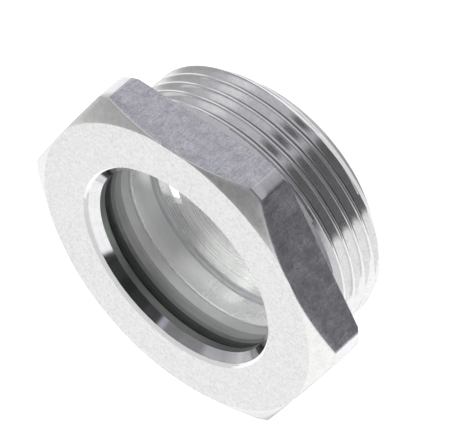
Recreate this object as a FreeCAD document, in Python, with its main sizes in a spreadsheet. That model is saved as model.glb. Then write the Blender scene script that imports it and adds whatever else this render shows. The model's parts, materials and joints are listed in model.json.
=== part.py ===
import FreeCAD, Part
import math
import os
import Sketcher

# Oil level sight glass with a 1 1/2 inch pipe thread, in millimetres.
# The axis is Y. The window looks along -Y, the thread points along +Y, and a flat of the hexagon is on top.
# The origin lies on the axis in the plane of the head's underside, which seats on the tank wall.

os.makedirs("parts", exist_ok=True)
doc = FreeCAD.newDocument("oil_level_sight_glass")

# Driving dimensions
SIZES = {
    # Hexagon head
    "across_flats": 55.0,
    "corner_dia": 62.1,
    "head_len": 8.0,
    "face_dia": 55.0,
    "front_chamfer": 2.1,
    "back_chamfer": 0.4,
    # Shank with its thread
    "neck_dia": 44.2,
    "neck_len": 3.3,
    "neck_step": 0.5,
    "thread_dia": 47.803,
    "thread_pitch": 2.309,
    "thread_start": 1.9,
    "thread_start_deg": 254.2,
    "shank_len": 15.1,
    "end_chamfer": 2.0,
    # Bore of the body
    "lip_face_dia": 38.4,
    "lip_front_dia": 37.5,
    "lip_land_dia": 35.1,
    "lip_edge_len": 0.6,
    "lip_cone_len": 1.4,
    "lip_len": 3.2,
    "chamber_dia": 40.0,
    # Front seal
    "seal_bore_dia": 35.3,
    "seal_thickness": 0.5,
    "seal_collar_len": 3.4,
    # Glass
    "glass_dia": 36.0,
    "glass_thickness": 14.3,
    "glass_chamfer": 0.2,
    # Reflector cup
    "skirt_len": 4.8,
    "skirt_step": 0.8,
    "cup_bore_dia": 34.8,
    "cup_depth": 4.8,
    "cup_floor": 1.2,
    "cup_inner_round": 0.8,
    "nose_dia": 38.4,
    "nose_reach": 2.3,
    "nose_chamfer": 0.35,
    "port_inner_dia": 24.4,
    "port_outer_dia": 33.0,
    "port_angle": 50.0,
}

# Proportions of the 55 degree pipe thread, as shares of its pitch
FLANK_TAN = math.tan(math.radians(55.0 / 2))
THREAD_DEPTH_SHARE = 0.640327
THREAD_FLAT_SHARE = 1.0 / 6

# How far a cut runs past the surface that it opens
CLEAR = 1.0
THREAD_CLEAR = 0.1


class Length:
    """A length with its present value and the expression that works it out from the sheet."""

    def __init__(self, value, text):
        self.value = value
        self.text = text

    def __add__(self, other):
        other = as_length(other)
        return Length(self.value + other.value, f"({self.text} + {other.text})")

    def __sub__(self, other):
        other = as_length(other)
        return Length(self.value - other.value, f"({self.text} - {other.text})")

    def __mul__(self, factor):
        return Length(self.value * factor, f"{self.text} * ({factor:.9f})")

    def __neg__(self):
        return self * -1.0


def as_length(number):
    if isinstance(number, Length):
        return number
    return Length(number, f"({number:.6f})")


def make_sheet():
    sheet = doc.addObject("Spreadsheet::Sheet", "Sizes")
    for row, (name, number) in enumerate(SIZES.items(), start=1):
        sheet.set(f"A{row}", name)
        sheet.set(f"B{row}", str(number))
        sheet.setAlias(f"B{row}", name)
    doc.recompute()
    return {name: Length(number, f"Sizes.{name}") for name, number in SIZES.items()}


size = make_sheet()
ZERO = Length(0.0, "0")

# Radii and planes that several pieces share
glass_radius = size["glass_dia"] * 0.5
chamber_radius = size["chamber_dia"] * 0.5
face_y = -size["head_len"]
shoulder_y = face_y + size["lip_len"]
glass_front_y = shoulder_y + size["seal_thickness"]
glass_back_y = glass_front_y + size["glass_thickness"]
collar_y = glass_front_y + size["seal_collar_len"]
skirt_y = glass_back_y - size["skirt_len"]


def new_body(name):
    body = doc.addObject("PartDesign::Body", name)
    body.Label = name
    return body


def origin_plane(body, role):
    return next(part for part in body.Origin.OriginFeatures if part.Role == role)


def closed_outline(body, name, plane, corners):
    """A sketch of straight edges whose corners are tied to the sheet."""
    sketch = body.newObject("Sketcher::SketchObject", name)
    sketch.AttachmentSupport = [(origin_plane(body, plane), "")]
    sketch.MapMode = "FlatFace"
    points = [FreeCAD.Vector(across.value, along.value, 0) for across, along in corners]
    for index, point in enumerate(points):
        sketch.addGeometry(Part.LineSegment(point, points[(index + 1) % len(points)]), False)
    for index in range(len(points)):
        sketch.addConstraint(Sketcher.Constraint("Coincident", index, 2, (index + 1) % len(points), 1))
    for index, (across, along) in enumerate(corners):
        for kind, length in (("DistanceX", across), ("DistanceY", along)):
            number = sketch.addConstraint(Sketcher.Constraint(kind, -1, 1, index, 1, length.value))
            sketch.setExpression(f"Constraints[{number}]", length.text)
    return sketch


def turn(body, name, corners, kind="PartDesign::Revolution"):
    """Add or cut a turned form about the Y axis from an outline of radius and depth."""
    sketch = closed_outline(body, f"{name}_outline", "XY_Plane", corners)
    feature = body.newObject(kind, name)
    feature.Profile = sketch
    feature.ReferenceAxis = (sketch, ["V_Axis"])
    feature.Angle = 360.0
    return feature


def edges_at(shape, radius, depth):
    """Names of the circular edges of one radius that lie in one plane across the axis."""
    names = []
    for index, edge in enumerate(shape.Edges, start=1):
        curve = edge.Curve
        if not isinstance(curve, Part.Circle):
            continue
        if abs(curve.Radius - radius.value) < 1e-4 and abs(curve.Center.y - depth.value) < 1e-4:
            names.append(f"Edge{index}")
    return names


def dress_edges(body, name, places, length, rounded=False):
    """Chamfer or round the circular edges at the given radii and depths."""
    doc.recompute()
    base = body.Tip
    names = []
    for radius, depth in places:
        names += edges_at(base.Shape, radius, depth)
    feature = body.newObject("PartDesign::Fillet" if rounded else "PartDesign::Chamfer", name)
    feature.Base = (base, names)
    feature.setExpression("Radius" if rounded else "Size", length.text)
    return feature


def make_head(body):
    """The hexagon, turned at its front, at its corners and lightly at its back."""
    corner_radius = size["corner_dia"] * 0.5
    face_radius = size["face_dia"] * 0.5
    flat_to_corner = size["across_flats"] * (1.0 / math.sqrt(3.0))
    corners = []
    for index in range(6):
        angle = math.radians(60 * index)
        corners.append((flat_to_corner * math.cos(angle), flat_to_corner * math.sin(angle)))
    hexagon = closed_outline(body, "hexagon_outline", "XZ_Plane", corners)
    pad = body.newObject("PartDesign::Pad", "hexagon")
    pad.Profile = hexagon
    pad.setExpression("Length", size["head_len"].text)

    overrun = 0.2
    cone_width = corner_radius - face_radius
    outside = flat_to_corner + CLEAR
    turn(body, "head_turning", [
        (face_radius - cone_width * overrun, face_y - size["front_chamfer"] * overrun),
        (corner_radius, face_y + size["front_chamfer"]),
        (corner_radius, -size["back_chamfer"]),
        (corner_radius - size["back_chamfer"] - CLEAR, ZERO + CLEAR),
        (outside, ZERO + CLEAR),
        (outside, face_y - size["front_chamfer"] * overrun),
    ], "PartDesign::Groove")


def make_shank(body):
    """The plain neck, the threaded length and its end chamfer."""
    neck_radius = size["neck_dia"] * 0.5
    thread_radius = size["thread_dia"] * 0.5
    turn(body, "shank", [
        (ZERO, ZERO),
        (neck_radius, ZERO),
        (neck_radius, size["neck_len"]),
        (thread_radius, size["neck_len"] + size["neck_step"]),
        (thread_radius, size["shank_len"] - size["end_chamfer"]),
        (thread_radius - size["end_chamfer"], size["shank_len"]),
        (ZERO, size["shank_len"]),
    ])


def make_bore(body):
    """The lip with its broken edge, cone and narrow land, and the wider chamber behind it."""
    face_radius = size["lip_face_dia"] * 0.5
    front_radius = size["lip_front_dia"] * 0.5
    land_radius = size["lip_land_dia"] * 0.5
    cone_y = face_y + size["lip_edge_len"]
    overrun = 0.5
    before_y = face_y - size["lip_edge_len"] * overrun
    turn(body, "bore", [
        (ZERO, before_y),
        (face_radius + (face_radius - front_radius) * overrun, before_y),
        (front_radius, cone_y),
        (land_radius, cone_y + size["lip_cone_len"]),
        (land_radius, shoulder_y),
        (chamber_radius, shoulder_y),
        (chamber_radius, size["shank_len"] + CLEAR),
        (ZERO, size["shank_len"] + CLEAR),
    ], "PartDesign::Groove")


def cut_thread(body):
    """A right-hand V groove with flat crests and roots, from the neck out past the end."""
    pitch = size["thread_pitch"]
    root_radius = size["thread_dia"] * 0.5 - pitch * THREAD_DEPTH_SHARE
    tool_radius = size["thread_dia"] * 0.5 + THREAD_CLEAR
    root_half = pitch * (THREAD_FLAT_SHARE / 2)
    mouth_half = root_half + (tool_radius - root_radius) * FLANK_TAN
    middle = size["thread_start"]
    sketch = closed_outline(body, "thread_outline", "XY_Plane", [
        (root_radius, middle - root_half),
        (tool_radius, middle - mouth_half),
        (tool_radius, middle + mouth_half),
        (root_radius, middle + root_half),
    ])
    sketch.AttachmentOffset = FreeCAD.Placement(
        FreeCAD.Vector(0, 0, 0), FreeCAD.Rotation(FreeCAD.Vector(0, 1, 0), -SIZES["thread_start_deg"]))
    sketch.setExpression("AttachmentOffset.Rotation.Angle", f"{size['thread_start_deg'].text} * 1 deg")
    helix = body.newObject("PartDesign::SubtractiveHelix", "thread")
    helix.Profile = sketch
    helix.ReferenceAxis = (sketch, ["V_Axis"])
    helix.Mode = "pitch-height-angle"
    helix.Angle = 0.0
    helix.LeftHanded = False
    helix.Reversed = False
    helix.setExpression("Pitch", pitch.text)
    helix.setExpression("Height", (size["shank_len"] - middle + pitch).text)


def make_main_body():
    body = new_body("body")
    make_head(body)
    make_shank(body)
    make_bore(body)
    doc.recompute()
    cut_thread(body)
    return body


def make_front_seal():
    """Rubber ring with a thin lip in front of the glass and a collar round the glass's front edge."""
    body = new_body("front_seal")
    seal_radius = size["seal_bore_dia"] * 0.5
    turn(body, "seal_ring", [
        (seal_radius, shoulder_y),
        (chamber_radius, shoulder_y),
        (chamber_radius, collar_y),
        (glass_radius, collar_y),
        (glass_radius, glass_front_y),
        (seal_radius, glass_front_y),
    ])
    return body


def make_glass():
    """Thick glass disc with lightly chamfered edges."""
    body = new_body("glass")
    turn(body, "disc", [
        (ZERO, glass_front_y),
        (glass_radius, glass_front_y),
        (glass_radius, glass_back_y),
        (ZERO, glass_back_y),
    ])
    dress_edges(body, "disc_edges",
                [(glass_radius, glass_front_y), (glass_radius, glass_back_y)], size["glass_chamfer"])
    return body


def make_side_packing():
    """Thick sleeve around the glass, between the front seal's collar and the cup's skirt."""
    body = new_body("side_packing")
    turn(body, "sleeve", [
        (glass_radius, collar_y),
        (chamber_radius, collar_y),
        (chamber_radius, skirt_y),
        (glass_radius, skirt_y),
    ])
    return body


def make_reflector_cup():
    """Cup that holds the glass from behind: skirt, step, and a wall that ends in a nose past a slotted floor."""
    body = new_body("reflector_cup")
    bore_radius = size["cup_bore_dia"] * 0.5
    nose_radius = size["nose_dia"] * 0.5
    step_y = glass_back_y + size["skirt_step"]
    floor_y = glass_back_y + size["cup_depth"]
    end_y = floor_y + size["cup_floor"]
    nose_y = size["shank_len"] + size["nose_reach"]
    turn(body, "cup", [
        (glass_radius, skirt_y),
        (chamber_radius, skirt_y),
        (chamber_radius, step_y),
        (nose_radius, step_y),
        (nose_radius, nose_y),
        (bore_radius, nose_y),
        (bore_radius, end_y),
        (ZERO, end_y),
        (ZERO, floor_y),
        (bore_radius, floor_y),
        (bore_radius, glass_back_y),
        (glass_radius, glass_back_y),
    ])
    dress_edges(body, "cup_corner", [(bore_radius, floor_y)], size["cup_inner_round"], rounded=True)
    dress_edges(body, "nose_edges", [(nose_radius, nose_y), (bore_radius, nose_y)], size["nose_chamfer"])
    port = turn(body, "port", [
        (size["port_inner_dia"] * 0.5, floor_y - CLEAR),
        (size["port_outer_dia"] * 0.5, floor_y - CLEAR),
        (size["port_outer_dia"] * 0.5, end_y + CLEAR),
        (size["port_inner_dia"] * 0.5, end_y + CLEAR),
    ], "PartDesign::Groove")
    port.Midplane = True
    port.setExpression("Angle", size["port_angle"].text)
    pair = body.newObject("PartDesign::PolarPattern", "port_pair")
    pair.Originals = [port]
    pair.Axis = (port.Profile[0], ["V_Axis"])
    pair.Angle = 360.0
    pair.Occurrences = 2
    body.Tip = pair
    return body


def check_and_export(bodies):
    doc.recompute()
    failed = [item.Label for item in doc.Objects if {"Invalid", "Error"} & set(item.State)]
    for body in bodies:
        if body.Shape.isNull() or not body.Shape.isValid() or len(body.Shape.Solids) != 1:
            failed.append(body.Label)
    if failed:
        raise RuntimeError(f"these did not build: {failed}")
    for body in bodies:
        box = body.Shape.optimalBoundingBox(False, False)
        print(f"{body.Label}: volume {body.Shape.Volume:.1f} mm3, "
              f"{box.XLength:.2f} by {box.YLength:.2f} by {box.ZLength:.2f} mm, y from {box.YMin:.2f}")
        body.Shape.exportStep(f"parts/{body.Label}.step")


check_and_export([
    make_main_body(),
    make_front_seal(),
    make_glass(),
    make_side_packing(),
    make_reflector_cup(),
])
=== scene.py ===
import json
import math
from collections import namedtuple

import bmesh
import bpy
import numpy as np
from mathutils import Matrix, Vector


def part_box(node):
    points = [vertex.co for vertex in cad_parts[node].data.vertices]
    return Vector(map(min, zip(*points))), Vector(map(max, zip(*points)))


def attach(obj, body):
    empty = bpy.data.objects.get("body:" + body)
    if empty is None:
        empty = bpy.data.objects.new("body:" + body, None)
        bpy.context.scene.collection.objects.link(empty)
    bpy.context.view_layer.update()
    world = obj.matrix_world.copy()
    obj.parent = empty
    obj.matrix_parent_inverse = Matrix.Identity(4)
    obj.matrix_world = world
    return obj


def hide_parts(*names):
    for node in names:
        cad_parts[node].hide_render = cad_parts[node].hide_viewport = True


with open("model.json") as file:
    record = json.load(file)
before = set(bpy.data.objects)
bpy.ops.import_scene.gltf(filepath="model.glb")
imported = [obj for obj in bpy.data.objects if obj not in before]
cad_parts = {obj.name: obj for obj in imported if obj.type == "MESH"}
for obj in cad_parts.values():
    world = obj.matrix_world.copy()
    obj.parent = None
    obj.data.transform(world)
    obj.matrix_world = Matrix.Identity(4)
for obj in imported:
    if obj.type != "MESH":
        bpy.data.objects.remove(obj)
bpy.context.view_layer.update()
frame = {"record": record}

# All modelling below is in millimetres in the row frame, and becomes metres when a mesh is made.
MM = 0.001
BODY = "root"


def node_box(node):
    """Lowest and highest corner of a solid, in millimetres."""
    low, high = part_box(node)
    return np.array(low) / MM, np.array(high) / MM


mounts = {mount["name"]: mount for mount in frame["record"]["mounts"]}
body_low, body_high = node_box("body")
seal_low, seal_high = node_box("front_seal")
glass_low, glass_high = node_box("glass")
packing_low, packing_high = node_box("side_packing")
cup_low, cup_high = node_box("reflector_cup")

# Hexagon head. Its edges are lightly broken, by EDGE at the front and a little less at the back.
FACE_Y = body_low[1]
HALF_FLATS = body_high[2]
CORNER_R = body_high[0]
FACE_R = HALF_FLATS
FRONT_CHAMFER = 2.1
FRONT_SLOPE = FRONT_CHAMFER / (CORNER_R - FACE_R)
BACK_CHAMFER = 0.4
EDGE = 0.09
BACK_EDGE = 0.7 * EDGE
UNDER_EDGE = 0.9 * EDGE
RING_ROLL_WIDTH = 0.03
RING_ROLL_DROP = 0.008

# Neck, and the end of the shank
NECK_R = 22.1
NECK_END = 3.3
NECK_RISE = 0.5
NECK_ROUND = 0.25
END_Y = body_high[1]
END_CHAMFER = 2.0
END_BREAK = 0.06
MOUTH_ROUND = 0.2

# Pipe thread with flanks of 55 degrees. At the azimuth GROOVE_DEG a groove's middle stands at GROOVE_Y.
CREST_R = mounts["thread"]["dims"]["r_mm"]
PITCH = 2.309
DEPTH_OF_PITCH = 0.640327
THREAD_DEPTH = DEPTH_OF_PITCH * PITCH
FLANK_DEG = 27.5
FLANK_TAN = math.tan(math.radians(FLANK_DEG))
ROOT_HALF = PITCH / 12
GROOVE_Y = 1.9
GROOVE_DEG = 254.2
ROOT_ROUND = 0.14
CREST_ROUND = 0.16
# Half the width round a groove's middle that is painted dark, as painted shade at the groove's bottom
ROOT_SHADE_HALF = 0.15
SPARE_TURNS = 2

# Chamber, and the lip of the window in front of it
CHAMBER_R = seal_high[0]
LIP_FACE_R = 19.2
LIP_FRONT_R = 18.75
LIP_LAND_R = 17.55
LIP_EDGE = 0.6
LIP_CONE = 1.4
LAND_BREAK = 0.05
SHOULDER_Y = seal_low[1]

# Seal, glass and packing
SEAL_BORE_R = 17.65
SEAL_ROUND = 0.16
GLASS_R = glass_high[0]
GLASS_CHAMFER = 0.2

# Reflector cup, which has two slots in its floor
SKIRT_Y = cup_low[1]
SKIRT_STEP = 0.8
SKIRT_BREAK = 0.1
STEP_Y = glass_high[1]
STEP_ROUND = 0.2
FOOT_ROUND = 0.1
SMALL_ROUND = 0.12
NOSE_Y = cup_high[1]
NOSE_R = 19.2
NOSE_ROUND = 0.35
CUP_BORE_R = 17.4
CUP_DEPTH = 4.8
CUP_FLOOR_Y = STEP_Y + CUP_DEPTH
CUP_FLOOR = 1.2
CUP_INNER_ROUND = 0.8
CUP_BACK_ROUND = 0.15
PORT_INNER_R = 12.2
PORT_OUTER_R = 16.5
PORT_HALF_DEG = 25.0
FLOOR_RADII = [0.0, 4.0, 9.0, PORT_INNER_R, PORT_OUTER_R]

# Room between the skins of neighbouring pieces, so that no two faces lie in one plane
HAIR = 0.02

# A row this close to an edge, or this far from the cup's corner, ends the edge's or the corner's shading.
EDGE_ROW = 0.1
CORNER_ROW = 2.5

# Faces round each skin, and how its mesh is finished
BODY_SIDES = 480
CUP_SIDES = 360
GLASS_SIDES = 288
SEAL_SIDES = 288
PACKING_SIDES = 192
PAIR_CLEARANCE = 2.2
MERGE = 0.0004
SAME_PLANE = 0.001
SHARP_DEG = 34.0
GLASS_SHARP_DEG = 20.0


def azimuths(count, breaks=(), half_width=0.15):
    """Evenly spaced azimuths in degrees, with a narrow pair in place of those near each break."""
    even = np.arange(count) * 360.0 / count
    breaks = np.array(breaks, float).reshape(-1)
    if len(breaks) == 0:
        return even
    apart = np.abs((even[:, None] - breaks[None, :] + 180) % 360 - 180).min(axis=1)
    kept = even[apart > PAIR_CLEARANCE * half_width]
    pairs = np.concatenate([breaks - half_width, breaks + half_width]) % 360
    return np.sort(np.concatenate([kept, pairs]))


def arc(centre_r, centre_y, radius, start_deg, end_deg, steps):
    """Points of a rounded corner in a section of radius and depth."""
    turns = np.radians(np.linspace(start_deg, end_deg, steps + 1))
    return [(centre_r + radius * math.cos(turn), centre_y + radius * math.sin(turn)) for turn in turns]


def coated(points, material):
    """Rows of a skin from points of its section, all with one material."""
    return [(radius, depth, material) for radius, depth in points]


def turned_points(angles, rows):
    """Points of a turned skin in metres, row after row."""
    count = len(angles)
    turn = np.radians(angles)
    radii = np.array([np.broadcast_to(np.asarray(row[0], float), count) for row in rows])
    depths = np.array([np.broadcast_to(np.asarray(row[1], float), count) for row in rows])
    points = np.stack([radii * np.cos(turn), depths, radii * np.sin(turn)], axis=-1)
    return points.reshape(-1, 3) * MM


def turned_skin(name, angles, rows, closed=True, skip=None, sharp_deg=SHARP_DEG):
    """A turned piece from rows of (radius, depth, material). A radius or a depth is a number, or one value
    for each azimuth. The material is that of the faces between its row and the next one."""
    count = len(angles)
    mesh = bpy.data.meshes.new(name)
    faces = []
    slots = []
    last = len(rows) if closed else len(rows) - 1
    for row in range(last):
        following = (row + 1) % len(rows)
        slot = slot_of(mesh, rows[row][2])
        for column in range(count):
            if skip is not None and skip(row, column):
                continue
            side = (column + 1) % count
            faces.append((row * count + column, row * count + side,
                          following * count + side, following * count + column))
            slots.append(slot)
    mesh.from_pydata(turned_points(angles, rows).tolist(), [], faces)
    mesh.polygons.foreach_set("material_index", slots)
    finish_mesh(mesh, sharp_deg)
    piece = bpy.data.objects.new(name, mesh)
    bpy.context.scene.collection.objects.link(piece)
    return piece


def slot_of(mesh, material):
    """Number of a material's slot in a mesh, which gets the slot if it has none yet."""
    if mesh.materials.find(material.name) < 0:
        mesh.materials.append(material)
    return mesh.materials.find(material.name)


def finish_mesh(mesh, sharp_deg):
    """Merge doubled points, turn the faces outward, and shade smoothly between the sharp edges."""
    form = bmesh.new()
    form.from_mesh(mesh)
    bmesh.ops.remove_doubles(form, verts=form.verts, dist=MERGE * MM)
    bmesh.ops.dissolve_degenerate(form, edges=form.edges, dist=MERGE * MM)
    bmesh.ops.recalc_face_normals(form, faces=form.faces)
    form.to_mesh(mesh)
    form.free()
    mesh.shade_smooth()
    mesh.set_sharp_from_angle(angle=math.radians(sharp_deg))


def repaint(mesh, old, new, chosen):
    """Change a face's material where a test of its radius and depth holds."""
    old_slot = slot_of(mesh, old)
    new_slot = slot_of(mesh, new)
    for polygon in mesh.polygons:
        middle = polygon.center / MM
        if polygon.material_index == old_slot and chosen(math.hypot(middle.x, middle.z), middle.y):
            polygon.material_index = new_slot


def radial(point):
    """Unit vector from the axis toward a point."""
    return Vector((point.x, 0, point.z)).normalized()


def frontal(point):
    """The way that the face looks, at any point."""
    return Vector((0, -1, 0))


def face_normals(mesh, ways):
    """Shade the faces of some materials as the round of a broken edge: name of material to way of facing."""
    normals = [Vector(corner.vector) for corner in mesh.corner_normals]
    for polygon in mesh.polygons:
        way = ways.get(mesh.materials[polygon.material_index].name)
        if way is not None:
            for corner in polygon.loop_indices:
                normals[corner] = way(mesh.vertices[mesh.loops[corner].vertex_index].co)
    mesh.normals_split_custom_set(normals)


def hexagon_radius(angles):
    """Distance from the axis to the head's side at each azimuth, its corners turned round."""
    from_flat = np.radians(angles % 60 - 30)
    return np.minimum(HALF_FLATS / np.cos(from_flat), CORNER_R)


def body_azimuths():
    """Azimuths of the body's skin, with narrow pairs where a flat meets a turned corner."""
    facet_half = math.degrees(math.acos(HALF_FLATS / CORNER_R))
    flats = [30 + 60 * index for index in range(6)]
    return azimuths(BODY_SIDES, [flat + side * facet_half for flat in flats for side in (-1, 1)])


def ring_rows(face_edge, skin):
    """The flat ring of the face, from the broken edge of the lip out to the front chamfer."""
    rows = [(LIP_FRONT_R, FACE_Y + LIP_EDGE, skin["lip_edge"]),
            (0.5 * (LIP_FRONT_R + LIP_FACE_R), FACE_Y + LIP_EDGE * 0.45, skin["lip_edge"]),
            (LIP_FACE_R, FACE_Y, skin["ring_face"])]
    for share in (0.02, 0.25, 0.5, 0.75):
        rows.append((LIP_FACE_R + EDGE_ROW + share * (FACE_R - LIP_FACE_R), FACE_Y, skin["ring_face"]))
    rows.append((face_edge - EDGE_ROW, FACE_Y, skin["ring_face"]))
    rows.append((face_edge - RING_ROLL_WIDTH, FACE_Y + RING_ROLL_DROP, skin["ring_cone"]))
    return rows


def chamfer_rows(head, face_edge, skin):
    """The front chamfer of the hexagon, out to the broken edges of its sides."""
    rows = []
    for share in (0.04, 0.35, 0.7, 1.0):
        radius = face_edge + (head - EDGE - face_edge) * share
        depth = FACE_Y + np.maximum(radius - FACE_R, 0.02) * FRONT_SLOPE
        rows.append((radius, depth, skin["ring_cone"]))
    return rows


def side_rows(head, back_width, skin):
    """The hexagon's sides, between the broken edges at their front and back."""
    side = skin["hexagon_side"]
    front = FACE_Y + (head - FACE_R) * FRONT_SLOPE
    back = -back_width
    rows = [(head, front + EDGE, side)]
    for share in (0.33, 0.66):
        rows.append((head, front + EDGE + (back - front - 2 * EDGE) * share, side))
    rows.append((head, back - BACK_EDGE, side))
    rows.append((head - BACK_EDGE, back, side))
    return rows


def neck_rows(head, back_width, skin):
    """The head's underside and the plain neck, with a small round between them."""
    outer = head - back_width - UNDER_EDGE
    points = [(outer, 0.0), (outer - 0.15, 0.0)]
    points += [(NECK_R + from_neck, 0.0) for from_neck in (2.2, 0.3)]
    points += arc(NECK_R + NECK_ROUND, NECK_ROUND, NECK_ROUND, 270, 180, 4)[1:]
    for share in (0.33, 0.66):
        points.append((NECK_R, NECK_ROUND + (NECK_END - NECK_ROUND) * share))
    return coated(points, skin["neck_turned"])


def smooth_min(first, second, width):
    """The lesser of two values, blended over a width where they cross."""
    blend = np.clip(0.5 + 0.5 * (second - first) / width, 0, 1)
    return second + (first - second) * blend - width * blend * (1 - blend)


def thread_radius(from_groove):
    """Radius of the thread's form at a distance along the axis from a groove's middle."""
    flank = CREST_R - THREAD_DEPTH + (np.abs(from_groove) - ROOT_HALF) / FLANK_TAN
    above_root = -smooth_min(-flank, np.full_like(flank, THREAD_DEPTH - CREST_R), ROOT_ROUND)
    return smooth_min(above_root, np.full_like(flank, CREST_R), CREST_ROUND)


def blank_radius(depth):
    """Radius of the turned blank that the thread is cut in: neck, rise and end chamfer."""
    rise = NECK_R + (depth - NECK_END) * (CREST_R - NECK_R) / NECK_RISE
    chamfer = CREST_R - (depth - (END_Y - END_CHAMFER))
    return np.minimum(np.clip(rise, NECK_R, CREST_R), chamfer)


def groove_offsets():
    """Distances from a groove's middle at which its form is sampled, closest together at the crest's edge."""
    half = PITCH / 2
    crest_edge = ROOT_HALF + THREAD_DEPTH * FLANK_TAN
    flank = [0.0, 0.10, 0.19, 0.28, 0.42, 0.60, 0.78]
    crest = [crest_edge + step for step in (-0.10, -0.05, 0.0, 0.05, 0.10)]
    ahead = np.array(flank + crest + [half - 0.05])
    return np.concatenate([-ahead[:0:-1], ahead, [half]])


def thread_rows(angles, skin):
    """Rows that follow the helix, cut off at the neck and at the end. The groove's bottom is painted darker,
    as painted shade.
    """
    half = PITCH / 2
    groove = GROOVE_Y + PITCH * ((GROOVE_DEG - angles) % 360) / 360 - PITCH * SPARE_TURNS
    turns = int(math.ceil((END_Y - NECK_END) / PITCH)) + 2 * SPARE_TURNS
    rows = []
    for turn in range(turns):
        for offset in groove_offsets():
            depth = groove + turn * PITCH + offset
            if (depth < NECK_END).all() or (depth > END_Y).all():
                continue
            inside = np.clip(depth, NECK_END, END_Y)
            form = thread_radius((inside - groove + half) % PITCH - half)
            # The groove's bottom gets the dark colour: painted shade
            material = skin["root_painted_shade"] if abs(offset) < ROOT_SHADE_HALF else skin["thread_cut"]
            rows.append((np.minimum(form, blank_radius(inside)), inside, material))
    return rows


def chamber_rows(skin):
    """The shank's end face, the rounded mouth of the chamber, and its wall up to the shoulder."""
    points = [(CREST_R - END_CHAMFER - END_BREAK, END_Y), (CHAMBER_R + MOUTH_ROUND + 0.05, END_Y)]
    rows = coated(points, skin["thread_cut"])
    points = arc(CHAMBER_R + MOUTH_ROUND, END_Y - MOUTH_ROUND, MOUTH_ROUND, 90, 180, 3)[1:]
    points += [(CHAMBER_R, SKIRT_Y), (CHAMBER_R, SHOULDER_Y)]
    rows += coated(points, skin["chamber_turned"])
    return rows


def lip_rows(skin):
    """The window's lip: its land beside the shoulder, painted dark as painted shade, and its cone up to the
    broken edge.
    """
    points = [(LIP_LAND_R + LAND_BREAK, SHOULDER_Y), (LIP_LAND_R, SHOULDER_Y - LAND_BREAK)]
    rows = coated(points, skin["lip_land_painted_shade"])
    front = FACE_Y + LIP_EDGE
    back = front + LIP_CONE
    for share in (0.0, 0.33, 0.66, 0.97):
        radius = LIP_LAND_R + (LIP_FRONT_R - LIP_LAND_R) * share
        rows.append((radius, back + (front - back) * share, skin["lip_polished"]))
    return rows


def at_corner(radius, depth):
    """Whether a face of the hexagon's sides is on one of the turned corners."""
    return radius > CORNER_R - 0.02


def in_rise(radius, depth):
    """Whether a face of the thread lies in the rise from the neck."""
    return depth < NECK_END + NECK_RISE


def in_end_chamfer(radius, depth):
    """Whether a face of the thread lies in the end chamfer, past its very start."""
    return depth > END_Y - 0.8 * END_CHAMFER


def build_body(skin):
    """Hexagon head, neck, thread and bore as one closed skin, from its materials by name."""
    angles = body_azimuths()
    head = hexagon_radius(angles)
    face_edge = np.minimum(FACE_R, head - EDGE)
    back_width = np.maximum(head - (CORNER_R - BACK_CHAMFER), 0)
    rows = ring_rows(face_edge, skin)
    rows += chamfer_rows(head, face_edge, skin)
    rows += side_rows(head, back_width, skin)
    rows += neck_rows(head, back_width, skin)
    rows += thread_rows(angles, skin)
    rows += chamber_rows(skin)
    rows += lip_rows(skin)
    piece = turned_skin("turned_body", angles, rows)
    repaint(piece.data, skin["hexagon_side"], skin["corner_facet"], at_corner)
    # In the rise from the neck, thread and groove faces alike are painted white and non-metallic, as painted
    # light; its shading normals are turned outward from the axis
    repaint(piece.data, skin["thread_cut"], skin["rise_painted_light"], in_rise)
    repaint(piece.data, skin["root_painted_shade"], skin["rise_painted_light"], in_rise)
    # The end chamfer's grooves keep no painted shade
    repaint(piece.data, skin["root_painted_shade"], skin["thread_cut"], in_end_chamfer)
    face_normals(piece.data, {"lip_edge": frontal, "rise_painted_light": radial})
    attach(piece, BODY)
    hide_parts("body")
    return piece


def build_seal(material):
    """Ring with a thin rounded lip in front of the glass and a collar round the glass's edge."""
    low, high = seal_low[1], seal_high[1]
    inner, outer = GLASS_R + HAIR, CHAMBER_R - HAIR
    front = glass_low[1]
    points = [(outer, high), (outer, low)]
    points += arc(SEAL_BORE_R + SEAL_ROUND, low + SEAL_ROUND, SEAL_ROUND, 270, 180, 4)
    points += arc(SEAL_BORE_R + SEAL_ROUND, front - SEAL_ROUND, SEAL_ROUND, 180, 90, 4)
    points += [(inner, front), (inner, high)]
    piece = turned_skin("rubber_seal", azimuths(SEAL_SIDES), coated(points, material))
    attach(piece, BODY)
    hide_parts("front_seal")
    return piece


def build_glass(polished, collar_rim, lit_packing_rim, skirt_rim):
    """Thick disc. Its rim is opaque and shows colours for what lies round it: the seal's collar, the packing
    and the cup's skirt. The packing's band is lighter than the packing's own grey: painted light.
    """
    front, back = glass_low[1] + HAIR, glass_high[1] - HAIR
    rim = GLASS_R - HAIR
    rows = coated([(0.0, front), (rim * 0.5, front)], polished)
    rows += coated([(rim - GLASS_CHAMFER, front), (rim, front + GLASS_CHAMFER)], collar_rim)
    # The packing's band on the rim, lighter than the packing itself: painted light
    rows += coated([(rim, packing_low[1])], lit_packing_rim)
    rows += coated([(rim, SKIRT_Y), (rim, back - GLASS_CHAMFER)], skirt_rim)
    rows += coated([(rim - GLASS_CHAMFER, back), (rim * 0.5, back), (0.0, back)], polished)
    piece = turned_skin("thick_glass", azimuths(GLASS_SIDES), rows, closed=False, sharp_deg=GLASS_SHARP_DEG)
    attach(piece, BODY)
    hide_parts("glass")
    return piece


def build_packing(material):
    """Thick sleeve between the glass and the chamber wall."""
    low, high = packing_low[1] + HAIR, packing_high[1] - HAIR
    inner, outer = GLASS_R + HAIR, CHAMBER_R - HAIR
    points = [(inner, low), (inner, high), (outer, high), (outer, low)]
    piece = turned_skin("packing_sleeve", azimuths(PACKING_SIDES), coated(points, material))
    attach(piece, BODY)
    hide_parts("side_packing")
    return piece


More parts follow.
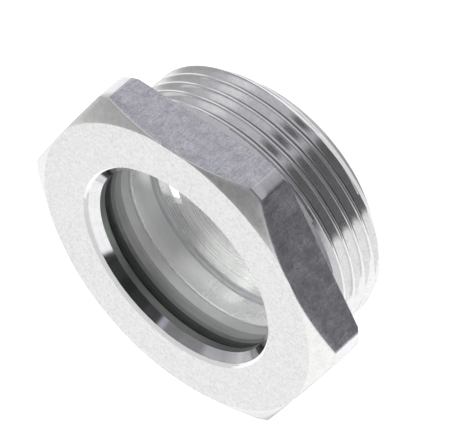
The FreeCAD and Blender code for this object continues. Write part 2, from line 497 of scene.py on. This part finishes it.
def cup_inside_rows(inside, corner):
    """The cup's floor, its rounded corner, painted darker as painted shade, the bore, and the step and skirt
    that hold the glass.
    """
    turn_up = arc(CUP_BORE_R - CUP_INNER_ROUND, CUP_FLOOR_Y - CUP_INNER_ROUND, CUP_INNER_ROUND, 90, 0, 8)
    bore = [turn_up[-1], (CUP_BORE_R, CUP_FLOOR_Y - CORNER_ROW)]
    bore += arc(CUP_BORE_R + SMALL_ROUND, STEP_Y + SMALL_ROUND, SMALL_ROUND, 180, 270, 3)
    bore += [(GLASS_R + HAIR, STEP_Y), (GLASS_R + HAIR, SKIRT_Y + SKIRT_BREAK)]
    rows = coated([(radius, CUP_FLOOR_Y) for radius in FLOOR_RADII], inside)
    # The rounded corner is darker and bluish: painted shade
    rows += coated(turn_up[:-1], corner)
    rows += coated(bore, inside)
    return rows


def cup_outside_rows(outside):
    """The cup's skirt, step, wall and nose from outside, and the recess behind its floor."""
    skirt_r = CHAMBER_R - HAIR
    back = CUP_FLOOR_Y + CUP_FLOOR
    points = arc(skirt_r - SMALL_ROUND, SKIRT_Y + SMALL_ROUND, SMALL_ROUND, 270, 360, 3)
    points += arc(skirt_r - STEP_ROUND, STEP_Y + SKIRT_STEP - STEP_ROUND, STEP_ROUND, 0, 90, 4)
    points += arc(NOSE_R + FOOT_ROUND, STEP_Y + SKIRT_STEP + FOOT_ROUND, FOOT_ROUND, 270, 180, 2)
    points += arc(NOSE_R - NOSE_ROUND, NOSE_Y - NOSE_ROUND, NOSE_ROUND, 0, 90, 5)
    points += arc(CUP_BORE_R + NOSE_ROUND, NOSE_Y - NOSE_ROUND, NOSE_ROUND, 90, 180, 5)
    points += arc(CUP_BORE_R - CUP_BACK_ROUND, back + CUP_BACK_ROUND, CUP_BACK_ROUND, 0, -90, 3)
    points += [(radius, back) for radius in reversed(FLOOR_RADII)]
    return coated(points, outside)


def build_cup(inside, outside, corner):
    """Turned cup with a skirt, a step, a wall that ends in a nose, and a floor that has two slots in it."""
    port_edges = [centre + side * PORT_HALF_DEG for centre in (0, 180) for side in (-1, 1)]
    angles = azimuths(CUP_SIDES, port_edges, half_width=0.05)
    in_port = np.abs((angles + 90) % 180 - 90) < PORT_HALF_DEG + 0.01
    rows = cup_inside_rows(inside, corner) + cup_outside_rows(outside)
    port_row = FLOOR_RADII.index(PORT_INNER_R)
    port_strips = {port_row, len(rows) - 2 - port_row}

    def skip(row, column):
        return row in port_strips and in_port[column] and in_port[(column + 1) % len(angles)]

    piece = turned_skin("reflector", angles, rows, closed=False, skip=skip)
    close_ports(piece.data)
    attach(piece, BODY)
    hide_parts("reflector_cup")
    return piece


def close_ports(mesh):
    """Walls through the floor's thickness round each slot."""
    form = bmesh.new()
    form.from_mesh(mesh)
    floor_y = CUP_FLOOR_Y * MM
    rim = [edge for edge in form.edges if edge.is_boundary]
    upper = [edge for edge in rim if all(abs(vert.co.y - floor_y) < SAME_PLANE * MM for vert in edge.verts)]
    made = bmesh.ops.extrude_edge_only(form, edges=upper)
    for vert in (item for item in made["geom"] if isinstance(item, bmesh.types.BMVert)):
        vert.co.y = (CUP_FLOOR_Y + CUP_FLOOR) * MM
    bmesh.ops.remove_doubles(form, verts=form.verts, dist=MERGE * MM)
    bmesh.ops.recalc_face_normals(form, faces=form.faces)
    form.to_mesh(mesh)
    form.free()
    mesh.set_sharp_from_angle(angle=math.radians(SHARP_DEG))


class Shader:
    """A small helper that keeps node code readable. A value is a number or the output of another node."""

    def __init__(self, owner):
        owner.use_nodes = True
        self.tree = owner.node_tree
        self.tree.nodes.clear()

    def add(self, kind, settings=None, **inputs):
        """A node with its settings, and with its inputs by name, where _ stands for a space."""
        node = self.tree.nodes.new(kind)
        for key, value in (settings or {}).items():
            setattr(node, key, value)
        for key, value in inputs.items():
            self.set(node, key.replace("_", " "), value)
        return node

    def set(self, node, key, value):
        """Give an input, by its name or number, a value or a link."""
        socket = node.inputs[int(key)] if key.isdigit() else node.inputs[key]
        if isinstance(value, bpy.types.NodeSocket):
            self.tree.links.new(value, socket)
        else:
            socket.default_value = value

    def math(self, operation, first, second=0.5, third=0.5):
        node = self.add("ShaderNodeMath", {"operation": operation})
        for index, value in enumerate((first, second, third)):
            self.set(node, str(index), value)
        return node.outputs[0]

    def spread(self, value, low, high, to_low=0.0, to_high=1.0):
        """Where a value lies between two bounds, as a share or between two other numbers."""
        node = self.add("ShaderNodeMapRange", {"interpolation_type": "SMOOTHSTEP"})
        for key, number in (("Value", value), ("From Min", low), ("From Max", high),
                            ("To Min", to_low), ("To Max", to_high)):
            self.set(node, key, number)
        return node.outputs[0]

    def mix(self, factor, first, second):
        """A colour between two, each the output of a node or three numbers."""
        node = self.add("ShaderNodeMix", {"data_type": "RGBA", "clamp_factor": True})
        self.set(node, "0", factor)
        sockets = {item.identifier: item for item in node.inputs}
        for socket, value in ((sockets["A_Color"], first), (sockets["B_Color"], second)):
            if isinstance(value, bpy.types.NodeSocket):
                self.tree.links.new(value, socket)
            else:
                socket.default_value = (*value, 1.0)
        return next(item for item in node.outputs if item.identifier == "Result_Color")

    def cover(self, tone, amount, share, color):
        """A tone with some of a colour over it, as much as an amount and a share of it say."""
        return self.mix(self.math("MULTIPLY", amount, share), tone, color)

    def weighed(self, first, first_share, second, second_share):
        """Sum of two values, each times its share."""
        return self.math("ADD", self.math("MULTIPLY", first, first_share),
                         self.math("MULTIPLY", second, second_share))

    def noise(self, vector, scale, detail=3.0, roughness=0.5):
        node = self.add("ShaderNodeTexNoise", {"noise_dimensions": "3D"})
        for key, value in (("Vector", vector), ("Scale", scale), ("Detail", detail),
                           ("Roughness", roughness)):
            self.set(node, key, value)
        return node.outputs["Fac"]

    def combine(self, first, second, third):
        node = self.add("ShaderNodeCombineXYZ")
        for index, value in enumerate((first, second, third)):
            self.set(node, str(index), value)
        return node.outputs[0]

    def place(self):
        """Point in the row frame, in metres."""
        return self.add("ShaderNodeTexCoord").outputs["Object"]

    def turned(self, place):
        """Angle in radians, and depth and radius in millimetres, of a point in the row frame."""
        across, depth, height = self.add("ShaderNodeSeparateXYZ", Vector=place).outputs
        square = self.math("ADD", self.math("MULTIPLY", across, across),
                           self.math("MULTIPLY", height, height))
        radius = self.math("MULTIPLY", self.math("SQRT", square), 1 / MM)
        angle = self.math("ARCTAN2", height, across)
        return angle, self.math("MULTIPLY", depth, 1 / MM), radius

    def scaled(self, vector, scale):
        node = self.add("ShaderNodeMapping")
        self.set(node, "Vector", vector)
        self.set(node, "Scale", scale)
        return node.outputs[0]

    def bump(self, height, distance_mm):
        node = self.add("ShaderNodeBump")
        for key, value in (("Height", height), ("Distance", distance_mm * MM), ("Strength", 1.0)):
            self.set(node, key, value)
        return node.outputs[0]

    def surface(self, **inputs):
        """End the material in one principled surface."""
        self.output(self.add("ShaderNodeBsdfPrincipled", **inputs))

    def output(self, shader, kind="ShaderNodeOutputMaterial"):
        out = self.add(kind)
        self.tree.links.new(shader.outputs[0], out.inputs["Surface"])


# The fine grain that all the metals share, and the part of it that shows as dark specks
GRAIN = dict(scale=2700.0, detail=5.0, roughness=0.85)
SPECKS = (0.47, 0.62)
SPECK_DARKNESS = 0.45

# How a ring's noise drifts round the axis, and how far the gloss strays from the roughness given
RING_DRIFT = 0.35
LEAST_ROUGH = 0.88
MOST_ROUGH = 1.14


def turned_metal(name, color, roughness, ring_pitch, ring_depth, along="radius", speck=0.0, metallic=1.0,
                 ring_share=0.5, darkest=0.88):
    """Lathe-turned aluminium: fine rings, slight unevenness in colour and gloss, and small specks. The rings
    follow each other along the radius or the depth, and their pitch and depth are in millimetres."""
    material = bpy.data.materials.new(name)
    shader = Shader(material)
    place = shader.place()
    angle, depth, radius = shader.turned(place)
    run = radius if along == "radius" else depth
    ring_place = shader.combine(shader.math("MULTIPLY", run, 1 / ring_pitch),
                                shader.math("MULTIPLY", angle, RING_DRIFT), 0.0)
    rings = shader.noise(ring_place, scale=1.0, detail=2.0)
    cloud = shader.noise(place, scale=750.0, detail=4.0, roughness=0.6)
    grain = shader.noise(place, **GRAIN)
    shade = shader.weighed(cloud, 1.0 - ring_share, rings, ring_share)
    darker = tuple(channel * darkest for channel in color)
    tone = shader.mix(shader.spread(shade, 0.3, 0.7), darker, color)
    if speck:
        speck_color = tuple(channel * SPECK_DARKNESS for channel in color)
        tone = shader.cover(tone, shader.spread(grain, *SPECKS), speck, speck_color)
    rough = shader.spread(shade, 0.25, 0.75, roughness * LEAST_ROUGH, roughness * MOST_ROUGH)
    height = shader.math("ADD", rings, shader.math("MULTIPLY", grain, 0.35 if speck else 0.12))
    shader.surface(Base_Color=tone, Metallic=metallic, Roughness=rough,
                   Normal=shader.bump(height, ring_depth))
    return material


BAR_PALE = (0.74, 0.74, 0.78)
BAR_DULL = (0.54, 0.53, 0.56)
BAR_SPECK = (0.30, 0.29, 0.31)
BAR_STAIN = (0.32, 0.31, 0.32)


def drawn_bar(name):
    """The hexagon's sides, as drawn bar: long fine scratches along the axis and a blotchy skin."""
    material = bpy.data.materials.new(name)
    shader = Shader(material)
    place = shader.place()
    streak_place = shader.scaled(place, (3600.0, 300.0, 3600.0))
    stain_place = shader.scaled(place, (300.0, 180.0, 300.0))
    streaks = shader.noise(streak_place, scale=1.0, detail=3.0, roughness=0.6)
    blotches = shader.noise(place, scale=620.0, detail=6.0, roughness=0.65)
    stains = shader.noise(stain_place, scale=1.0, detail=5.0, roughness=0.65)
    grain = shader.noise(place, **GRAIN)
    shade = shader.weighed(streaks, 0.4, blotches, 0.6)
    tone = shader.mix(shader.spread(shade, 0.36, 0.64), BAR_DULL, BAR_PALE)
    tone = shader.cover(tone, shader.spread(grain, *SPECKS), 0.55, BAR_SPECK)
    tone = shader.cover(tone, shader.spread(stains, 0.62, 0.70), 0.4, BAR_STAIN)
    rough = shader.spread(blotches, 0.3, 0.7, 0.23, 0.28)
    height = shader.math("ADD", streaks, shader.math("MULTIPLY", blotches, 0.6))
    shader.surface(Base_Color=tone, Metallic=1.0, Roughness=rough, Normal=shader.bump(height, 0.006))
    return material


def rubber(name, color, roughness):
    """Matt rubber or packing with a little pale dust in its grain."""
    material = bpy.data.materials.new(name)
    shader = Shader(material)
    place = shader.place()
    grain = shader.noise(place, scale=1500.0, detail=4.0, roughness=0.6)
    dust = shader.spread(shader.noise(place, scale=320.0, detail=4.0, roughness=0.7), 0.55, 0.8)
    dusty = tuple(channel + 0.05 for channel in color)
    tone = shader.cover(color, dust, 0.35, dusty)
    rough = shader.spread(grain, 0.3, 0.7, roughness - 0.08, roughness + 0.1)
    shader.surface(Base_Color=tone, Roughness=rough, Normal=shader.bump(grain, 0.02))
    return material


def clear_glass(name):
    """Clear glass. Shadow rays pass straight through, so that the room lights what lies behind it."""
    material = bpy.data.materials.new(name)
    shader = Shader(material)
    glass = shader.add("ShaderNodeBsdfPrincipled", Base_Color=(0.985, 0.995, 0.99, 1.0), Roughness=0.0,
                       IOR=1.52, Transmission_Weight=1.0)
    open_way = shader.add("ShaderNodeBsdfTransparent", Color=(0.95, 0.96, 0.955, 1.0))
    shadow = shader.add("ShaderNodeLightPath").outputs["Is Shadow Ray"]
    both = shader.add("ShaderNodeMixShader")
    for index, source in enumerate((shadow, glass.outputs[0], open_way.outputs[0])):
        shader.tree.links.new(source, both.inputs[index])
    shader.output(both)
    return material


# Where the camera of the photograph stood, in metres and as unit vectors of the row frame
CAMERA_PLACE = Vector((0.41356, -0.44416, 0.69549))
CAMERA_RIGHT = Vector((0.752647, 0.658039, -0.022505))
CAMERA_UP = Vector((-0.483411, 0.575472, 0.659656))
CAMERA_BACK = Vector((0.447031, -0.485609, 0.751231))
SENSOR = 36.0
LENS = 461.13


def build_camera():
    """The photograph's camera, a long lens that looks down on the part from its front right."""
    data = bpy.data.cameras.new("camera")
    data.sensor_fit = "HORIZONTAL"
    data.sensor_width = SENSOR
    data.lens = LENS
    data.clip_start = 0.05
    data.clip_end = 50.0
    camera = bpy.data.objects.new("camera", data)
    turn = Matrix((CAMERA_RIGHT, CAMERA_UP, CAMERA_BACK)).transposed()
    camera.matrix_world = Matrix.Translation(CAMERA_PLACE) @ turn.to_4x4()
    bpy.context.scene.collection.objects.link(camera)
    bpy.context.scene.camera = camera


# The floor, in metres, and the glow that keeps it white
FLOOR_Z = body_low[2] * MM - 0.0001
FLOOR_HALF = 3.0
FLOOR_GLOW = 0.80


def floor_white():
    """White that keeps the object's shadow, and glows where it is seen, mirrored or seen through glass."""
    material = bpy.data.materials.new("floor_white")
    shader = Shader(material)
    paths = shader.add("ShaderNodeLightPath").outputs
    indirect = shader.math("MAXIMUM", paths["Is Glossy Ray"], paths["Is Transmission Ray"])
    seen = shader.math("MAXIMUM", paths["Is Camera Ray"], indirect)
    diffuse = shader.add("ShaderNodeBsdfDiffuse", Color=(0.86, 0.86, 0.86, 1.0))
    glow = shader.add("ShaderNodeEmission", Color=(1.0, 1.0, 1.0, 1.0))
    shader.set(glow, "Strength", shader.math("MULTIPLY", seen, FLOOR_GLOW))
    both = shader.add("ShaderNodeAddShader")
    shader.tree.links.new(diffuse.outputs[0], both.inputs[0])
    shader.tree.links.new(glow.outputs[0], both.inputs[1])
    shader.output(both)
    return material


def build_floor():
    """Pale floor with a soft shadow. Metal mirrors the white lower half of the world in its place."""
    mesh = bpy.data.meshes.new("floor")
    half = FLOOR_HALF
    mesh.from_pydata([(-half, -half, FLOOR_Z), (half, -half, FLOOR_Z), (half, half, FLOOR_Z),
                      (-half, half, FLOOR_Z)], [], [(0, 1, 2, 3)])
    mesh.materials.append(floor_white())
    floor = bpy.data.objects.new("floor", mesh)
    floor.visible_glossy = False
    bpy.context.scene.collection.objects.link(floor)


# The studio is a grey room over a white floor. Between the two heights of HORIZON the one becomes the other.
ROOM_LIGHT = (0.46, 0.46, 0.49)
FLOOR_LIGHT = (1.10, 1.10, 1.10)
HORIZON = (-0.13, -0.02)

# Soft panels lie in the room. Each has the way to it from the object (+X right, +Y behind the window, +Z up),
# the half angles in degrees at which it is full and gone, its light, and the height above which alone it
# shows. A later panel covers an earlier one.
Panel = namedtuple("Panel", "way full fading light above", defaults=[None])
ABOVE_FADE = 0.03
PANELS = {
    # Behind the object and beside it
    "left_behind": Panel((-0.70, 0.64, 0.30), 16, 30, (0.42, 0.42, 0.445)),
    "corner_facet_light": Panel((-0.88, 0.47, -0.06), 9, 17, (1.05, 1.05, 1.06)),
    "left_low": Panel((-0.93, 0.02, -0.33), 10, 20, (0.58, 0.58, 0.58)),
    "end_chamfer_light": Panel((-0.30, 0.82, -0.46), 14, 24, (0.98, 0.98, 0.98)),
    "end_chamfer_grey": Panel((-0.17, 0.84, -0.52), 6, 13, (0.78, 0.78, 0.78)),
    "right_low": Panel((0.93, -0.25, -0.30), 10, 22, (0.74, 0.74, 0.74)),
    "high_behind": Panel((-0.15, 0.50, 0.85), 25, 34, (0.62, 0.62, 0.66)),
    "high_behind_dark": Panel((0.11, 0.645, 0.756), 2, 11, (0.13, 0.13, 0.13)),
    "left_raised": Panel((-0.86, 0.33, 0.40), 8, 18, (0.62, 0.62, 0.65)),
    "left_high_light": Panel((-0.68, 0.46, 0.57), 7, 15, (0.88, 0.88, 0.91)),
    "right_high_dark": Panel((0.62, 0.60, 0.51), 15, 21, (0.13, 0.13, 0.13)),
    "right_dark": Panel((0.88, 0.45, 0.06), 22, 34, (0.15, 0.15, 0.16), above=-0.15),
    # In front of the object
    "front_high_dark": Panel((0.34, -0.42, 0.84), 10, 18, (0.09, 0.09, 0.09)),
    "front_right_dark": Panel((0.86, -0.38, 0.28), 16, 25, (0.065, 0.065, 0.068), above=0.02),
    "front_between_dark": Panel((0.60, -0.46, 0.65), 12, 22, (0.10, 0.10, 0.10)),
    "front_top_dark": Panel((0.14, -0.42, 0.89), 7, 15, (0.14, 0.14, 0.145)),
    "front_left_light": Panel((-0.60, -0.28, 0.72), 16, 26, (0.83, 0.83, 0.86)),
    # For the lip's bottom, and for the front chamfer at the two upper corners
    "lip_bottom": Panel((-0.52, -0.66, 0.53), 10, 18, (0.26, 0.26, 0.262)),
    "lip_by_glint": Panel((-0.26, -0.74, 0.62), 5, 10, (0.22, 0.22, 0.223)),
    "chamfer_upper_left": Panel((-0.75, -0.60, -0.12), 12, 26, (0.41, 0.41, 0.41)),
    "chamfer_upper_right": Panel((-0.10, -0.99, 0.02), 14, 24, (0.22, 0.22, 0.218)),
    # For the dark side of the lip's cone, from its left toward its bottom, and the glint that ends it
    "lip_dark_start": Panel((0.70, -0.71, 0.05), 7, 13, (0.035, 0.036, 0.035), above=-0.075),
    "lip_dark_left": Panel((0.61, -0.76, 0.24), 7, 12, (0.040, 0.042, 0.040)),
    "lip_dark_middle": Panel((0.45, -0.80, 0.42), 8, 13, (0.024, 0.026, 0.024)),
    "lip_dark_lower": Panel((0.26, -0.80, 0.56), 8, 13, (0.036, 0.037, 0.036)),
    "lip_dark_end": Panel((0.06, -0.78, 0.62), 6, 10, (0.058, 0.058, 0.060)),
    "lip_glint": Panel((-0.09, -0.755, 0.645), 2.0, 3.6, (0.42, 0.42, 0.48)),
    # Under the object, and at its left
    "below": Panel((-0.09, 0.27, -0.96), 8, 18, (0.48, 0.48, 0.49)),
    "left": Panel((-0.98, -0.05, 0.05), 10, 22, (0.54, 0.54, 0.55)),
}


def lay_panel(shader, light, way, height, panel):
    """The room's light with one soft panel laid over it."""
    facing = shader.add("ShaderNodeVectorMath", {"operation": "DOT_PRODUCT"})
    shader.set(facing, "0", way)
    shader.set(facing, "1", tuple(Vector(panel.way).normalized()))
    gone = math.cos(math.radians(panel.fading))
    full = math.cos(math.radians(panel.full))
    share = shader.spread(facing.outputs["Value"], gone, full)
    if panel.above is not None:
        shown = shader.spread(height, panel.above - ABOVE_FADE, panel.above + ABOVE_FADE)
        share = shader.math("MULTIPLY", share, shown)
    return shader.mix(share, light, panel.light)


def build_world():
    """The studio, which metal and glass mirror. The camera itself sees plain white in its place."""
    world = bpy.data.worlds.new("studio")
    bpy.context.scene.world = world
    shader = Shader(world)
    way = shader.add("ShaderNodeTexCoord").outputs["Generated"]
    height = shader.add("ShaderNodeSeparateXYZ", Vector=way).outputs["Z"]
    light = shader.mix(shader.spread(height, *HORIZON), FLOOR_LIGHT, ROOM_LIGHT)
    for panel in PANELS.values():
        light = lay_panel(shader, light, way, height, panel)
    seen = shader.add("ShaderNodeLightPath").outputs["Is Camera Ray"]
    shown = shader.mix(seen, light, (1.0, 1.0, 1.0))
    shader.output(shader.add("ShaderNodeBackground", Color=shown), "ShaderNodeOutputWorld")


# Each lamp has the way to it from the object, its distance and width in metres, and its power in watts.
Lamp = namedtuple("Lamp", "way distance width power")
OVERHEAD = Lamp((-0.15, -0.15, 1.0), 1.3, 1.0, 4.0)
WINDOW_LAMPS = {
    "window_high": Lamp((0.15, -0.62, 0.77), 1.0, 0.7, 2.2),
    "window_left": Lamp((-0.45, -0.55, 0.70), 1.0, 0.4, 1.2),
}
CUP_LAMP = Lamp((-0.50, -0.66, 0.56), 1.0, 0.4, 9.0)


def build_lamp(name, values):
    """A round soft lamp that faces the object and isn't seen in its metal."""
    data = bpy.data.lights.new(name, "AREA")
    data.shape = "DISK"
    data.size = values.width
    data.energy = values.power
    lamp = bpy.data.objects.new(name, data)
    way = Vector(values.way).normalized()
    turn = way.to_track_quat("Z", "Y").to_matrix().to_4x4()
    lamp.matrix_world = Matrix.Translation(way * values.distance) @ turn
    lamp.visible_glossy = False
    bpy.context.scene.collection.objects.link(lamp)
    return lamp


def lit_only(name, pieces):
    """A collection of the only pieces that a lamp lights."""
    lit = bpy.data.collections.new(name)
    for piece in pieces:
        lit.objects.link(piece)
    return lit


def build_lamps(rim_pieces, cup):
    """A wide soft lamp overhead, two only for what lies behind the window, and one for the cup alone."""
    build_lamp("overhead", OVERHEAD)
    behind_window = lit_only("behind_window", [*rim_pieces, cup])
    for name, values in WINDOW_LAMPS.items():
        build_lamp(name, values).light_linking.receiver_collection = behind_window
    build_lamp("cup_lamp", CUP_LAMP).light_linking.receiver_collection = lit_only("cup_only", [cup])


# The turned metals by name, each with what turned_metal takes
BODY_METALS = {
    "ring_face": dict(color=(0.93, 0.93, 0.93), roughness=0.42, ring_pitch=0.30, ring_depth=0.010,
                      speck=0.42, ring_share=0.15),
    "ring_cone": dict(color=(0.95, 0.95, 0.94), roughness=0.30, ring_pitch=0.16, ring_depth=0.008,
                      speck=0.25, ring_share=0.3),
    "neck_turned": dict(color=(0.72, 0.72, 0.74), roughness=0.16, ring_pitch=0.25, ring_depth=0.004),
    "thread_cut": dict(color=(0.90, 0.90, 0.90), roughness=0.11, ring_pitch=0.10, ring_depth=0.004,
                       speck=0.2),
    "chamber_turned": dict(color=(0.80, 0.80, 0.81), roughness=0.30, ring_pitch=0.25, ring_depth=0.01,
                           along="depth"),
    "lip_polished": dict(color=(0.84, 0.84, 0.86), roughness=0.10, ring_pitch=0.4, ring_depth=0.001,
                         along="depth"),
    # The lip's narrow land, dark grey-green: painted shade
    "lip_land_painted_shade": dict(color=(0.34, 0.36, 0.34), roughness=0.30, ring_pitch=0.3, ring_depth=0.002,
                     along="depth"),
    "lip_edge": dict(color=(0.97, 0.97, 0.97), roughness=0.14, ring_pitch=0.3, ring_depth=0.001),
    # Dark colour for the groove's bottom: painted shade
    "root_painted_shade": dict(color=(0.24, 0.24, 0.245), roughness=0.34, ring_pitch=0.10, ring_depth=0.010),
    "corner_facet": dict(color=(0.93, 0.93, 0.95), roughness=0.26, ring_pitch=0.20, ring_depth=0.008,
                         along="depth"),
    # White, non-metallic rise from the neck: painted light
    "rise_painted_light": dict(color=(0.98, 0.98, 0.99), roughness=0.5, ring_pitch=0.20, ring_depth=0.004,
                        metallic=0.0),
}
RIM_METALS = {
    # The packing's band on the glass's rim, far lighter than PACKING_GREY: painted light
    "rim_grey_painted_light": dict(color=(0.37, 0.37, 0.38), roughness=0.42, ring_pitch=0.4, ring_depth=0.001,
                     along="depth", metallic=0.4),
    "rim_light": dict(color=(0.84, 0.84, 0.84), roughness=0.38, ring_pitch=0.3, ring_depth=0.004,
                      along="depth", metallic=0.6),
}
CUP_METALS = {
    "cup_inside": dict(color=(0.89, 0.89, 0.88), roughness=0.27, ring_pitch=0.35, ring_depth=0.0010,
                       metallic=0.6, ring_share=0.8, darkest=0.94),
    # The cup's inner rounded corner, darker than the inside: painted shade
    "cup_corner": dict(color=(0.60, 0.61, 0.64), roughness=0.45, ring_pitch=0.35, ring_depth=0.006,
                       metallic=0.6),
    "cup_outside": dict(color=(0.97, 0.97, 0.97), roughness=0.34, ring_pitch=0.35, ring_depth=0.010,
                        metallic=0.5, ring_share=0.7),
}
SEAL_BLACK = (0.020, 0.021, 0.020)
COLLAR_BLACK = (0.05, 0.053, 0.051)
PACKING_GREY = (0.10, 0.10, 0.105)


def turned_metals(values):
    """Materials by name from one of the lists of turned metals."""
    return {name: turned_metal(name, **inputs) for name, inputs in values.items()}


def main():
    """Build the five pieces of the object, and the camera, floor, room and lamps round them."""
    skin = turned_metals(BODY_METALS)
    skin["hexagon_side"] = drawn_bar("hexagon_side")
    build_body(skin)
    seal = build_seal(rubber("seal_rubber", SEAL_BLACK, roughness=0.42))
    rims = turned_metals(RIM_METALS)
    collar_rim = rubber("rim_dark", COLLAR_BLACK, roughness=0.5)
    glass = build_glass(clear_glass("window_glass"), collar_rim, rims["rim_grey_painted_light"], rims["rim_light"])
    packing = build_packing(rubber("packing_grey", PACKING_GREY, roughness=0.6))
    metals = turned_metals(CUP_METALS)
    cup = build_cup(metals["cup_inside"], metals["cup_outside"], metals["cup_corner"])
    build_camera()
    build_floor()
    build_world()
    build_lamps([seal, glass, packing], cup)
    bpy.context.scene.view_settings.view_transform = "Standard"


main()
